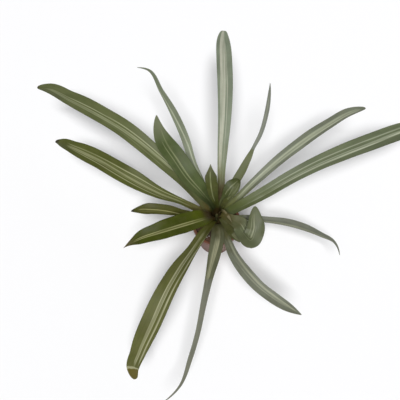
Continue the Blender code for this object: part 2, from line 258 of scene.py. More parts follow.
def finish_skin(tree, shader, colour, height, depth, strength):
    """Gives a shader its colour, and its normal by a height from 0 to 1 for a depth in metres."""
    tree.links.new(colour, shader.inputs["Base Color"])
    bump = add_node(tree, "Bump", {"Height": height, "Distance": depth, "Strength": strength})
    tree.links.new(bump.outputs["Normal"], shader.inputs["Normal"])


# Soil dust settles in fine patches on what stands in or over soil. Its mask is 1 where it lies
# thickest, and every finish that takes dust uses it with a patch scale and an amount of its own.
DUST = (0.150, 0.110, 0.078)
DUST_GRAIN_SCALE = 2600.0
DUST_GRAIN_SHARE = 0.45
DUST_STARTS = 0.62
DUST_FULL = 0.92

dust_group, given, wanted = start_group(
    "settled_dust", {"Place": "Vector", "Patch Scale": 90.0, "Amount": 0.5}, {"Mask": "Float"}
)
dust_patch = speckle(dust_group, given["Place"], given["Patch Scale"], detail=5.0, roughness=0.65)
dust_grain = speckle(dust_group, given["Place"], DUST_GRAIN_SCALE, detail=2.0)
dust_lie = reckon(dust_group, "MULTIPLY_ADD", dust_grain, DUST_GRAIN_SHARE, dust_patch)
dust_lie = ramp(dust_group, dust_lie, DUST_STARTS, DUST_FULL)
dust_group.links.new(reckon(dust_group, "MULTIPLY", dust_lie, given["Amount"]), wanted["Mask"])


def lay_dust(tree, place, colour, patch_scale, amount):
    """A colour with soil dust lying on it, and the mask of the dust."""
    mask = use_group(tree, dust_group, Place=place, Patch_Scale=patch_scale, Amount=amount)["Mask"]
    return blend(tree, mask, colour, DUST), mask


# The pot's finish is a matte moulded skin. It has faded in soft patches, is finely grained, and
# holds dust round its foot, where it stands, and a little under its rim.
POT_BROWN = (0.160, 0.060, 0.034)
POT_FADED = (0.200, 0.088, 0.054)
FADE_SCALE = 60.0
FADE_EDGE = (0.35, 0.70)
FADE_MOST = 0.45
FOOT_DUST_HEIGHTS = (0.016, 0.001)
FOOT_DUST_SHARES = (0.08, 0.60)
RIM_DUST_DROP = 0.004
RIM_DUST_MOST = 0.15
POT_DUST_SCALE = 130.0
DUST_LAYER_FULL = 0.6
CLEAN_ROUGHNESS = 0.46
DUSTY_ROUGHNESS = 0.85
POT_GLOSS = 0.3
POT_GRAIN_SCALE = 1500.0
POT_GRAIN_DEPTH = 0.00006
POT_GRAIN_STRENGTH = 0.6

pot_plastic, tree, shader, place = start_material("pot_plastic", CLEAN_ROUGHNESS, POT_GLOSS)
height = add_node(tree, "SeparateXYZ", {"Vector": place}).outputs["Z"]
fade = speckle(tree, place, FADE_SCALE, detail=4.0)
tone = ramp(tree, fade, *FADE_EDGE, 0.0, FADE_MOST)
colour = blend(tree, tone, POT_BROWN, POT_FADED)
foot_dust = ramp(tree, height, *FOOT_DUST_HEIGHTS, *FOOT_DUST_SHARES)
rim_dust = ramp(tree, height, rim_foot - RIM_DUST_DROP, rim_foot, 0.0, RIM_DUST_MOST)
dust_amount = reckon(tree, "MAXIMUM", foot_dust, rim_dust)
colour, dust = lay_dust(tree, place, colour, POT_DUST_SCALE, dust_amount)
roughness = ramp(tree, dust, 0.0, DUST_LAYER_FULL, CLEAN_ROUGHNESS, DUSTY_ROUGHNESS)
tree.links.new(roughness, shader.inputs["Roughness"])
pot_grain = speckle(tree, place, POT_GRAIN_SCALE)
finish_skin(tree, shader, colour, pot_grain, POT_GRAIN_DEPTH, POT_GRAIN_STRENGTH)
pot.data.materials.clear()
pot.data.materials.append(pot_plastic)
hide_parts("pot")

# The soil is a damp mix of composted bark and peat, poured in to a little below the rim. Its top
# is lumpy, and its plain hole in the middle holds the stem.
SOIL_LEVEL = 0.0450
SOIL_DISH = 0.0012
SOIL_FLAT = 0.0150
SOIL_LUMP = 0.0009
SOIL_WAVES = ((5, 260, 0.0), (3, -410, 1.7), (11, 700, 0.6))
WAVE_SHARE = 0.5
WAVE_EASE = 3
SOIL_CRUMB_NOISE = ((0.0, 420, 0.00045), (0.3, 1100, 0.00025))
SOIL_RINGS = 34
SOIL_SIDES = 150
SOIL_CLEAR = 0.0003
SOIL_FOOT_IN = 0.0016
SOIL_EDGE = pot_radius(SOIL_LEVEL) - WALL - SOIL_CLEAR
TOP_BAND = 0.0001
STEM_HOLE = 0.0031
HOLE_FLOOR = 0.0225
PEAT = (0.026, 0.017, 0.011)
HUMUS = (0.075, 0.047, 0.030)
BARK_FLECK = (0.120, 0.080, 0.052)
CRUMB_SCALE = 900.0
CRUMB_DEPTH = 0.0006
SOIL_PATCH_SCALE = 260.0
SOIL_PATCH_EDGE = (0.35, 0.65)
FLECK_EDGE = (0.50, 0.72)
FLECK_MOST = 0.7
SOIL_ROUGHNESS = (0.70, 0.98)


def soil_height(x, y, crumbs=1.0):
    """Height of the soil's top: its broad lumps, then its crumbs."""
    radius = math.hypot(x, y)
    share = max(0.0, (radius - SOIL_FLAT) / (SOIL_EDGE - SOIL_FLAT))
    angle = math.atan2(y, x)
    lumps = sum(math.sin(turns * angle + out * radius + start) for turns, out, start in SOIL_WAVES)
    lumps *= WAVE_SHARE * min(1.0, WAVE_EASE * share)
    crumb = 0.0
    for layer, scale, lift in SOIL_CRUMB_NOISE:
        crumb += noise.noise(Vector((x, y, layer)) * scale) * lift
    return SOIL_LEVEL - SOIL_DISH * share**2 + SOIL_LUMP * lumps + crumbs * crumb


soil_profile = [Vector((0.0, 0.0, HOLE_FLOOR)), Vector((STEM_HOLE, 0.0, HOLE_FLOOR))]
for i in range(SOIL_RINGS + 1):
    reach = STEM_HOLE + (SOIL_EDGE - STEM_HOLE) * i / SOIL_RINGS
    soil_profile.append(Vector((reach, 0.0, SOIL_LEVEL)))
foot = FLOOR + SOIL_CLEAR
soil_profile.append(Vector((pot_radius(foot) - WALL - SOIL_FOOT_IN, 0.0, foot)))
soil_profile.append(Vector((0.0, 0.0, foot)))
soil = turn("soil_bed", soil_profile, SOIL_SIDES)
for vert in soil.data.vertices:
    if vert.co.z > SOIL_LEVEL - TOP_BAND:
        vert.co.z = soil_height(vert.co.x, vert.co.y)

bark_soil, tree, shader, place = start_material("bark_soil", roughness=0.9)
crumb = speckle(tree, place, CRUMB_SCALE, detail=6.0, roughness=0.7)
patch = speckle(tree, place, SOIL_PATCH_SCALE, detail=4.0)
colour = blend(tree, ramp(tree, patch, *SOIL_PATCH_EDGE), PEAT, HUMUS)
fleck = ramp(tree, crumb, *FLECK_EDGE, 0.0, FLECK_MOST)
colour = blend(tree, fleck, colour, BARK_FLECK)
rough = ramp(tree, crumb, *NOISE_LIMITS, *SOIL_ROUGHNESS)
tree.links.new(rough, shader.inputs["Roughness"])
finish_skin(tree, shader, colour, crumb, CRUMB_DEPTH, strength=0.9)
soil.data.materials.append(bark_soil)
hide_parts("soil")

# Bark chips, crumbs and perlite lie loose on the soil. The chips are split flakes of pine bark, and
# the perlite is white puffed grit, which keeps such a mix open. Each heap of them is one row.
HEAPS = (
    ("bark_chips", 170, 11, (0.0022, 0.0014, 0.0006), (0.0058, 0.0030, 0.0013), 0.5, 0.35),
    ("soil_crumbs", 260, 5, (0.0006, 0.0005, 0.0004), (0.0015, 0.0012, 0.0009), 0.7, 0.3),
    ("perlite_grit", 46, 23, (0.0009, 0.0008, 0.0007), (0.0021, 0.0018, 0.0015), 0.6, 0.3),
)
GRAIN_FINENESS = 2
GRAIN_LUMPS = 3.2
GRAIN_BOXINESS = 0.6
GRAIN_OVERHANG = 0.35
GRAIN_LEAN = 0.35
GRAIN_CREASE = math.radians(50)
NOISE_SPAN = 90
BED_INNER = 0.0142
BED_MARGIN = 0.0012
BED_OUTER = SOIL_EDGE - BED_MARGIN
CHIP_RED = (0.135, 0.058, 0.030)
CHIP_BROWN = (0.052, 0.029, 0.018)
CHIP_FIBRE = (0.190, 0.120, 0.075)
CHIP_TONE_SCALE = 260.0
FIBRE_SCALE = 1500.0
FIBRE_EDGE = (0.4, 0.7)
FIBRE_MOST = 0.6
FIBRE_DEPTH = 0.0003
PERLITE_WHITE = (0.62, 0.60, 0.55)
PERLITE_PIT_SHADE = (0.36, 0.33, 0.28)
PIT_SCALE = 1400.0
PIT_EDGE = (0.35, 0.6)
PIT_DEPTH = 0.0002


def scatter_grit(name, count, seed, small, large, roughness, lift):
    """Rough grains of (longest, middle, shortest) sizes, from small to large ones, on the soil.

    The lift is how high their middles stand over the soil, as a share of their shortest size.
    """
    draw = random.Random(seed)
    heap = bmesh.new()
    for k in range(count):
        grain = bmesh.new()
        bmesh.ops.create_icosphere(grain, subdivisions=GRAIN_FINENESS, radius=0.5)
        stretch = [draw.uniform(low, high) for low, high in zip(small, large)]
        offset = Vector([draw.uniform(0, NOISE_SPAN) for _ in range(3)])
        for vert in grain.verts:
            swell = 1 + roughness * noise.noise(vert.co * GRAIN_LUMPS + offset)
            box = Vector([math.copysign(abs(c * 2) ** GRAIN_BOXINESS / 2, c) for c in vert.co])
            vert.co = Vector([c * swell * s for c, s in zip(box, stretch)])
        reach = math.sqrt(draw.uniform(BED_INNER**2, BED_OUTER**2))
        reach = min(reach, BED_OUTER - stretch[0] * GRAIN_OVERHANG)
        angle = draw.uniform(0, 2 * math.pi)
        x = reach * math.cos(angle)
        y = reach * math.sin(angle)
        lean = Matrix.Rotation(draw.uniform(-GRAIN_LEAN, GRAIN_LEAN), 4, "X")
        lean = lean @ Matrix.Rotation(draw.uniform(-GRAIN_LEAN, GRAIN_LEAN), 4, "Y")
        yaw = Matrix.Rotation(draw.uniform(0, 2 * math.pi), 4, "Z")
        spot = Vector((x, y, soil_height(x, y, 0.0) + stretch[2] * lift))
        grain.transform(Matrix.Translation(spot) @ yaw @ lean)
        part = bpy.data.meshes.new("grain")
        grain.to_mesh(part)
        grain.free()
        heap.from_mesh(part)
        bpy.data.meshes.remove(part)
    return add_piece(name, heap, GRAIN_CREASE)


bark_chip, tree, shader, place = start_material("bark_chip", roughness=0.85)
cells = add_node(tree, "TexVoronoi", {"Vector": place, "Scale": CHIP_TONE_SCALE})
cell_tone = add_node(tree, "SeparateColor", {"Color": cells.outputs["Color"]}).outputs["Red"]
colour = blend(tree, cell_tone, CHIP_BROWN, CHIP_RED)
fibre = speckle(tree, place, FIBRE_SCALE, detail=5.0, roughness=0.7)
bare = ramp(tree, fibre, *FIBRE_EDGE, 0.0, FIBRE_MOST)
colour = blend(tree, bare, colour, CHIP_FIBRE)
finish_skin(tree, shader, colour, fibre, FIBRE_DEPTH, strength=0.8)

# The perlite is painted grey in its pits, where its bump sinks: painted shade in its hollows.
perlite_grit, tree, shader, place = start_material("perlite_grit", roughness=0.8)
pits = speckle(tree, place, PIT_SCALE, detail=4.0, roughness=0.6)
colour = blend(tree, ramp(tree, pits, *PIT_EDGE), PERLITE_PIT_SHADE, PERLITE_WHITE)
finish_skin(tree, shader, colour, pits, PIT_DEPTH, strength=0.7)

for heap, finish in zip(HEAPS, (bark_chip, bark_soil, perlite_grit)):
    piece = scatter_grit(*heap)
    piece.data.materials.append(finish)

# The stem is short and green, hidden by the leaf bases that ring it. Its solid has the right
# shape, so only its skin is made here: smooth, with faint scars round it where leaves fell.
STEM_GREEN = (0.034, 0.040, 0.010)
STEM_SCAR = (0.050, 0.034, 0.014)
STEM_GLOSS = 0.1
SCAR_TURNS = 3400.0
SCAR_WANDER_SCALE = 500.0
SCAR_WANDER = 0.8
SCAR_EDGE = (0.9, 1.4)
SCAR_MOST = 0.7
SCAR_DEPTH = 0.0002
STEM_DUST_SCALE = 300.0
STEM_DUST = 0.2

stem_skin, tree, shader, place = start_material("stem_skin", roughness=0.8, gloss=STEM_GLOSS)
height = add_node(tree, "SeparateXYZ", {"Vector": place}).outputs["Z"]
scar = reckon(tree, "SINE", reckon(tree, "MULTIPLY", height, SCAR_TURNS))
wander = speckle(tree, place, SCAR_WANDER_SCALE)
scar = reckon(tree, "MULTIPLY_ADD", wander, SCAR_WANDER, scar)
scarred = ramp(tree, scar, *SCAR_EDGE, 0.0, SCAR_MOST)
colour = blend(tree, scarred, STEM_GREEN, STEM_SCAR)
colour, dust = lay_dust(tree, place, colour, STEM_DUST_SCALE, STEM_DUST)
finish_skin(tree, shader, colour, scar, SCAR_DEPTH, strength=0.5)
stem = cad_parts["stem"]
stem.data.materials.clear()
stem.data.materials.append(stem_skin)

# Each leaf is one piece: a sheath that clasps the stem, then a strap blade that arches out. The
# bases stand round the stem in rings, the innermost leaving it highest. A blade is folded up to
# both sides of its midrib, thin at its margins, and a keel runs along its underside.
RING_RADIUS = 0.0035
RING_PITCH = 0.0014
RING_TOP = 0.0370
RING_DROP = 0.0042
ROOT_DEPTH = 0.0010
NECK_FOLD = math.radians(48)
MID_FOLD = math.radians(19)
END_FOLD = math.radians(24)
NECK_SHARE = 0.08
OPEN_SHARE = 0.45
CLOSE_SHARE = 0.60
FULL_LEAN = 0.35
SLOPE_SHARE = 0.002
ROW_PITCH = 0.0016
ROW_CROWDING = 0.55
SHEATH_ROWS = 8
BLADE_COLUMNS = 20
TIP_WIDTH = 0.0004
THICK_BASE = 0.00062
THICK_TIP = 0.00040
KEEL = 0.00022
KEEL_HALF = 0.10
CREASE = 0.55
CREASE_POWER = 1.25
MARGIN_POWER = 6
WAVE_POWER = 3
WAVE_TURNS = (3.0, 5.5)
WAVE_START = 0.15
WAVE_RISE = 0.3
BROAD_BLADE = 0.012
LEAST_ROWS = 24
BLADE_CREASE = math.radians(45)


def smooth_step(value):
    """A value eased from 0 to 1."""
    value = min(1.0, max(0.0, value))
    return value * value * (3 - 2 * value)


def smooth_curve(points, start_slope):
    """A smooth curve through points whose first three values are a place in space.

    Gives a function of a share from 0 to 1 of its length, each point's own share and the length.
    """
    points = np.array(points, float)
    steps = np.linalg.norm(np.diff(points[:, :3], axis=0), axis=1)
    marks = np.concatenate([[0.0], np.cumsum(steps)])
    chords = np.diff(points, axis=0) / steps[:, None]
    slopes = np.empty_like(points)
    before = steps[:-1, None]
    after = steps[1:, None]
    slopes[1:-1] = (after * chords[:-1] + before * chords[1:]) / (before + after)
    behind, ahead = chords[:-1, 3:], chords[1:, 3:]
    limit = 3 * np.minimum(np.abs(behind), np.abs(ahead)) * (behind * ahead > 0)
    slopes[1:-1, 3:] = np.clip(slopes[1:-1, 3:], -limit, limit)
    slopes[0] = start_slope
    slopes[-1] = 2 * chords[-1] - slopes[-2]

    def at(share):
        mark = share * marks[-1]
        i = int(np.clip(np.searchsorted(marks, mark, side="right") - 1, 0, len(steps) - 1))
        t = (mark - marks[i]) / steps[i]
        near = (1 + 2 * t) * (1 - t) ** 2 * points[i] + t * (1 - t) ** 2 * steps[i] * slopes[i]
        far = t * t * (3 - 2 * t) * points[i + 1] - t * t * (1 - t) * steps[i] * slopes[i + 1]
        return near + far

    return at, marks / marks[-1], marks[-1]


def on_axis(bearing, reach, height):
    """A place by its bearing and reach from the pot's axis."""
    angle = math.radians(bearing)
    return (reach * math.cos(angle), reach * math.sin(angle), height)


def cross_section(middle, along, heading, width, fold, roll, thick, wave, keel):
    """The ring of points round a blade at one place, its upper side first, left to right."""
    side = Vector((math.sin(heading), -math.cos(heading), 0.0))
    along = along.normalized()
    side = (side - along * side.dot(along)).normalized()
    face = side.cross(along)
    turn_by = math.radians(roll)
    side, face = (
        side * math.cos(turn_by) - face * math.sin(turn_by),
        face * math.cos(turn_by) + side * math.sin(turn_by),
    )
    radius = 0.5 * width / fold
    rise = radius * (1 - math.cos(fold))
    upper, lower = [], []
    for i in range(BLADE_COLUMNS + 1):
        out = 2 * i / BLADE_COLUMNS - 1
        angle = fold * out
        arc = radius * (1 - math.cos(angle))
        lift = arc + CREASE * (rise * abs(out) ** CREASE_POWER - arc)
        lift += wave[0 if out < 0 else 1] * abs(out) ** WAVE_POWER
        half = thick / 2 * math.sqrt(max(0.0, 1 - out**MARGIN_POWER))
        slant = side * math.cos(angle) + face * math.sin(angle)
        outward = slant.cross(along)
        if outward.dot(face) < 0:
            outward = -outward
        spot = middle + side * (radius * math.sin(angle)) + face * lift
        upper.append(spot + outward * half)
        depth = half + keel * math.exp(-((out / KEEL_HALF) ** 2))
        lower.append(spot - outward * depth)
    return upper + lower[-2:0:-1]


def leaf_sections(leaf):
    """Rings of points from a leaf's root to its tip, each with its share of the blade's length."""
    radius = RING_RADIUS + RING_PITCH * leaf["ring"]
    leaves_at = SOIL_LEVEL + RING_TOP - RING_DROP * leaf["ring"]
    start = math.radians(leaf["bearing"])
    sheath = leaf["sheath"]
    sheath_fold = 0.5 * sheath / radius
    stations = [(*on_axis(leaf["bearing"], radius, leaves_at), sheath, 0.0)]
    for bearing, reach, height, width, *roll in leaf["path"]:
        place_there = on_axis(bearing, reach, SOIL_LEVEL + height)
        stations.append((*place_there, width or TIP_WIDTH, roll[0] if roll else 0.0))
    at, marks, length = smooth_curve(stations, (0.0, 0.0, 1.0, 0.0, 0.0))
    last_mark = marks[-2]
    last_width = stations[-2][3]
    shrink = (at(last_mark)[3] - at(last_mark - SLOPE_SHARE)[3]) / SLOPE_SHARE
    ease = leaf["taper"] + shrink * (1 - last_mark) / last_width
    draw = random.Random(leaf["name"])
    waves = [(draw.uniform(*WAVE_TURNS), draw.uniform(0, 2 * math.pi)) for _ in range(2)]
    sections = []
    root = SOIL_LEVEL - ROOT_DEPTH
    upright = Vector((0.0, 0.0, 1.0))
    still = (0.0, 0.0)
    for i in range(SHEATH_ROWS):
        height = root + (leaves_at - root) * i / SHEATH_ROWS
        middle = Vector(on_axis(leaf["bearing"], radius, height))
        ring = cross_section(
            middle, upright, start, sheath, sheath_fold, 0.0, THICK_BASE, still, 0.0
        )
        sections.append(((height - leaves_at) / length, ring))
    count = max(LEAST_ROWS, int(length / leaf["pitch"]))
    for i in range(count + 1):
        even = i / count
        share = even + ROW_CROWDING * (0.5 - 0.5 * math.cos(math.pi * even) - even)
        here = at(share)
        ahead = Vector(at(min(1.0, share + SLOPE_SHARE))[:3])
        behind = Vector(at(max(0.0, share - SLOPE_SHARE))[:3])
        along = upright if i == 0 else ahead - behind
        level = smooth_step(math.hypot(along.x, along.y) / along.length / FULL_LEAN)
        heading = start
        if level > 0:
            swing = math.atan2(along.y, along.x) - start
            heading = start + level * ((swing + math.pi) % (2 * math.pi) - math.pi)
        width = max(TIP_WIDTH, here[3])
        if share > last_mark:
            left = (1 - share) / (1 - last_mark)
            swell = 1 + ease * (1 - left) * left**3
            width = TIP_WIDTH + (last_width - TIP_WIDTH) * left ** leaf["taper"] * swell
        neck = sheath_fold + (NECK_FOLD - sheath_fold) * smooth_step(share / NECK_SHARE)
        fold = neck + (MID_FOLD - neck) * smooth_step(share / OPEN_SHARE)
        fold += (END_FOLD - MID_FOLD) * smooth_step((share - CLOSE_SHARE) / (1 - CLOSE_SHARE))
        thick = THICK_BASE + (THICK_TIP - THICK_BASE) * share
        thick = min(thick, 0.5 * width)
        fullness = min(1.0, width / BROAD_BLADE)
        calm = smooth_step((share - WAVE_START) / WAVE_RISE) * fullness * leaf["wave"]
        wave = [calm * math.sin(turns * 2 * math.pi * share + phase) for turns, phase in waves]
        keel = KEEL * (1 - share) * fullness
        ring = cross_section(
            Vector(here[:3]), along, heading, width, fold, here[4], thick, wave, keel
        )
        sections.append((share, ring))
    return sections


def leaf_body(leaf):
    """A leaf's closed skin, with its place across and along the blade as UVs."""
    sections = leaf_sections(leaf)
    work = bmesh.new()
    uv = work.loops.layers.uv.new("blade")
    lower = work.faces.layers.float.new("underside")
    rows = [[work.verts.new(point) for point in ring] for share, ring in sections]
    size = len(rows[0])

    def across(column):
        return min(column, size - column) / BLADE_COLUMNS

    for i in range(len(rows) - 1):
        for j in range(size):
            k = (j + 1) % size
            face = work.faces.new((rows[i][j], rows[i][k], rows[i + 1][k], rows[i + 1][j]))
            face[lower] = 0.0 if j < BLADE_COLUMNS else 1.0
            for loop, column, row in zip(face.loops, (j, k, k, j), (i, i, i + 1, i + 1)):
                loop[uv].uv = (across(column), sections[row][0])
    for ring in (rows[0][::-1], rows[-1]):
        work.faces.new(ring)
    bmesh.ops.recalc_face_normals(work, faces=list(work.faces))
    return add_piece(leaf["name"] + "_blade", work, BLADE_CREASE)


# A leaf's skin is waxy green tissue with parallel veins, which raise fine ribs and vary its tone.
# Its patterns are laid out by a place across the blade, 0.5 at the midrib, and one along it.
MIDDLE = 0.5
VEIN_STRETCH = 2.2
VEIN_SCALE = 1.6
RIB_SHARE = 0.25
FULL_TURN = 6.283


def blade_grid(tree, given, across, along):
    """A place on the blade, stretched across and along it and moved by the leaf's seed."""
    return add_node(tree, "CombineXYZ", {
        "X": reckon(tree, "MULTIPLY", given["Across"], across),
        "Y": reckon(tree, "MULTIPLY", given["Along"], along),
        "Z": given["Seed"],
    }).outputs[0]


veins_group, given, wanted = start_group(
    "parallel_veins",
    {"Across": 0.5, "Along": 0.5, "Count": 18.0, "Seed": 0.0},
    {"Lines": "Float", "Height": "Float"},
)
tree = veins_group
stretched = blade_grid(tree, given, given["Count"], VEIN_STRETCH)
lines = speckle(tree, stretched, VEIN_SCALE, roughness=0.6)
ribs = reckon(tree, "MULTIPLY", given["Across"], given["Count"])
ribs = reckon(tree, "SINE", reckon(tree, "MULTIPLY", ribs, FULL_TURN))
tree.links.new(ramp(tree, lines, *NOISE_LIMITS), wanted["Lines"])
tree.links.new(reckon(tree, "MULTIPLY_ADD", ribs, RIB_SHARE, lines), wanted["Height"])

# A cream stripe has no green in it. It is a band along the blade that may drift and bend across
# it, has frayed, streaked edges, and comes in and runs out in points.
STRIPE_COMES_IN = 0.06
STRIPE_RUNS_OUT = 0.07
STREAKS_ACROSS = 17.0
STREAKS_ALONG = 3.0
STRIPE_FRAY = 0.025
STRIPE_EDGE = (-0.006, 0.010)
STREAK_EDGE = (0.38, 0.58)
FAINT_STREAK = 0.35

stripe_group, given, wanted = start_group(
    "cream_stripe",
    {"Across": 0.5, "Along": 0.5, "Centre": 0.5, "Half Width": 0.1, "Start": 0.1, "End": 0.9,
     "Drift": 0.0, "Bend": 0.0, "Strength": 1.0, "Seed": 0.0},
    {"Mask": "Float"},
)
tree = stripe_group
from_middle = reckon(tree, "SUBTRACT", given["Along"], MIDDLE)
slant = reckon(tree, "MULTIPLY_ADD", from_middle, given["Bend"], given["Drift"])
path_there = reckon(tree, "MULTIPLY_ADD", from_middle, slant, given["Centre"])
away = reckon(tree, "ABSOLUTE", reckon(tree, "SUBTRACT", given["Across"], path_there))
begun = reckon(tree, "SUBTRACT", given["Along"], given["Start"])
into = ramp(tree, begun, 0.0, STRIPE_COMES_IN)
to_go = reckon(tree, "SUBTRACT", given["End"], given["Along"])
out_of = ramp(tree, to_go, 0.0, STRIPE_RUNS_OUT)
shown = reckon(tree, "MULTIPLY", into, out_of)
room = reckon(tree, "MULTIPLY", given["Half Width"], shown)
streaks = blade_grid(tree, given, STREAKS_ACROSS, STREAKS_ALONG)
streak = speckle(tree, streaks, scale=1.0, detail=2.0)
edge = reckon(tree, "SUBTRACT", room, away)
fray = reckon(tree, "SUBTRACT", streak, MIDDLE)
edge = reckon(tree, "MULTIPLY_ADD", fray, STRIPE_FRAY, edge)
mask = ramp(tree, edge, *STRIPE_EDGE)
cream = ramp(tree, streak, *STREAK_EDGE, FAINT_STREAK, 1.0)
mask = reckon(tree, "MULTIPLY", mask, cream)
mask = reckon(tree, "MULTIPLY", mask, shown)
tree.links.new(reckon(tree, "MULTIPLY", mask, given["Strength"]), wanted["Mask"])

# The tissue is green in lighter and darker patches, with a darker margin, and paler underneath.
# Its base has a tone of its own over a brown root. Its tip may have one too, set off by a line.
ROOT_BROWN = (0.040, 0.027, 0.006)
MARGIN_GREEN = (0.02, 0.03, 0.01)
PATCHES_ACROSS = 1.5
PATCHES_ALONG = 9.0
PATCH_SCALE = 1.3
PATCH_EDGE = (0.25, 0.75)
PATCH_LIGHT = (0.86, 1.12)
VEIN_LIGHT = 0.07
CREAM_UNDERNEATH = 0.5
MARGIN_EDGE = (0.455, 0.5)
MARGIN_SHARE = 0.45
MARGIN_DARKENING = 0.55
BASE_WANDER = 0.8
BASE_FULL = 0.1
ROOT_FULL = 0.4
TIP_WANDER = 0.03
TIP_STARTS = -0.006
TIP_LINE_EDGE = (0.010, 0.003)

tone_group, given, wanted = start_group(
    "leaf_tone",
    {"Across": 0.5, "Along": 0.5, "Underside": 0.0, "Lines": 0.5, "Stripe": 0.0,
     "Green": "Color", "Cream": "Color", "Back": "Color", "Base": "Color", "Base Share": 0.12,
     "Root Share": 0.001, "Tip": "Color", "Tip Share": 1.2, "Tip Fade": 0.012, "Tip Line": 0.0,
     "Seed": 0.0},
    {"Color": "Color", "Patch": "Float"},
)
tree = tone_group
spots = blade_grid(tree, given, PATCHES_ACROSS, PATCHES_ALONG)
patch = speckle(tree, spots, PATCH_SCALE, detail=4.0, roughness=0.6)
patch_light = ramp(tree, patch, *PATCH_EDGE, *PATCH_LIGHT)
vein_light = ramp(tree, given["Lines"], 0.0, 1.0, -VEIN_LIGHT, VEIN_LIGHT)
light = reckon(tree, "ADD", patch_light, vein_light)
face_green = blend(tree, given["Underside"], given["Green"], given["Back"])
gray = add_node(tree, "CombineColor", {"Red": light, "Green": light, "Blue": light}).outputs[0]
colour = blend(tree, 1.0, face_green, gray, "MULTIPLY")
veiled = ramp(tree, given["Underside"], 0.0, 1.0, 0.0, CREAM_UNDERNEATH)
pale = blend(tree, veiled, given["Cream"], given["Back"])
colour = blend(tree, given["Stripe"], colour, pale)
from_midrib = reckon(tree, "ABSOLUTE", reckon(tree, "SUBTRACT", given["Across"], MIDDLE))
margin = ramp(tree, from_midrib, *MARGIN_EDGE, 0.0, MARGIN_SHARE)
margin_tone = blend(tree, MARGIN_DARKENING, given["Green"], MARGIN_GREEN)
colour = blend(tree, margin, colour, margin_tone)
wander = reckon(tree, "SUBTRACT", patch, MIDDLE)
low = reckon(tree, "DIVIDE", given["Along"], given["Base Share"])
low = reckon(tree, "MULTIPLY_ADD", wander, BASE_WANDER, low)
colour = blend(tree, ramp(tree, low, 1.0, BASE_FULL), colour, given["Base"])
full_root = reckon(tree, "MULTIPLY", given["Root Share"], ROOT_FULL)
root = ramp(tree, given["Along"], given["Root Share"], full_root)
colour = blend(tree, root, colour, ROOT_BROWN)
past = reckon(tree, "SUBTRACT", given["Along"], given["Tip Share"])
past = reckon(tree, "MULTIPLY_ADD", wander, TIP_WANDER, past)
colour = blend(tree, ramp(tree, past, TIP_STARTS, given["Tip Fade"]), colour, given["Tip"])
line = ramp(tree, reckon(tree, "ABSOLUTE", past), *TIP_LINE_EDGE)
line = reckon(tree, "MULTIPLY", line, given["Tip Line"])
colour = blend(tree, line, colour, given["Cream"])
tree.links.new(colour, wanted["Color"])
tree.links.new(patch, wanted["Patch"])

# Each leaf's skin joins the groups with colours and stripes of its own. It is faintly glossy,
# rougher underneath and where dust lies, and its veins can be felt.
LEAF_GLOSS = 0.22
LEAF_ROUGHNESS = (0.42, 0.54)
BACK_ROUGHER = 0.16
LEAF_DUST_SCALE = 160.0
LEAF_DUST = 0.10
VEIN_DEPTH = 0.00016
VEIN_STRENGTH = 0.55
TURN_EASE = 0.01
SEED_SPAN = 50
SEED_STEP = 3.7
OLIVE = (0.088, 0.104, 0.030)
CREAM = (0.290, 0.310, 0.150)
PALE_CREAM = (0.360, 0.375, 0.250)
BACK_GREEN = (0.150, 0.160, 0.115)
BASE_OLIVE = (0.045, 0.047, 0.007)
BASE_BROWN = (0.080, 0.066, 0.018)
BASE_YELLOW = (0.096, 0.106, 0.028)
DRY_TIP = (0.100, 0.084, 0.022)
STRIPE_ROW = ("Centre", "Drift", "Bend", "Half_Width", "Start", "End", "Strength")
OWN_TONES = (
    "Green", "Cream", "Back", "Base", "Base_Share", "Root_Share", "Tip", "Tip_Share", "Tip_Fade",
    "Tip_Line",
)


def leaf_skin(leaf):
    """The material of one leaf, with its own colours and stripes.

    A leaf that turns over shows its underside past its "turned" share, and "reseed" moves it on
    to another stretch of the patches.
    """
    name = leaf["name"] + "_skin"
    material, tree, shader, place = start_material(name, roughness=0.5, gloss=leaf["gloss"])
    seed = random.Random(name).uniform(0, SEED_SPAN) + leaf["reseed"]
    uv = add_node(tree, "UVMap", uv_map="blade").outputs[0]
    spot = add_node(tree, "SeparateXYZ", {"Vector": uv}).outputs
    across, along = spot["X"], spot["Y"]
    under = add_node(tree, "Attribute", attribute_name="underside").outputs["Fac"]
    if "turned" in leaf:
        turned = ramp(tree, along, leaf["turned"] - TURN_EASE, leaf["turned"] + TURN_EASE)
        under = reckon(tree, "ABSOLUTE", reckon(tree, "SUBTRACT", under, turned))
    veins = use_group(
        tree, veins_group, Across=across, Along=along, Count=leaf["veins"], Seed=seed
    )
    stripes = 0.0
    for number, row in enumerate(leaf["stripes"]):
        stripe = use_group(
            tree, stripe_group, Across=across, Along=along, Seed=seed + SEED_STEP * number,
            **dict(zip(STRIPE_ROW, row)),
        )["Mask"]
        stripes = reckon(tree, "MAXIMUM", stripes, stripe)
    tone = use_group(
        tree, tone_group, Across=across, Along=along, Underside=under, Lines=veins["Lines"],
        Stripe=stripes, Seed=seed, **{label: leaf[label.lower()] for label in OWN_TONES},
    )
    colour, dust = lay_dust(tree, place, tone["Color"], LEAF_DUST_SCALE, LEAF_DUST)
    rough = ramp(tree, tone["Patch"], *NOISE_LIMITS, *LEAF_ROUGHNESS)
    rough = reckon(tree, "MULTIPLY_ADD", reckon(tree, "ADD", under, dust), BACK_ROUGHER, rough)
    tree.links.new(rough, shader.inputs["Roughness"])
    finish_skin(tree, shader, colour, veins["Height"], VEIN_DEPTH, VEIN_STRENGTH)
    return material


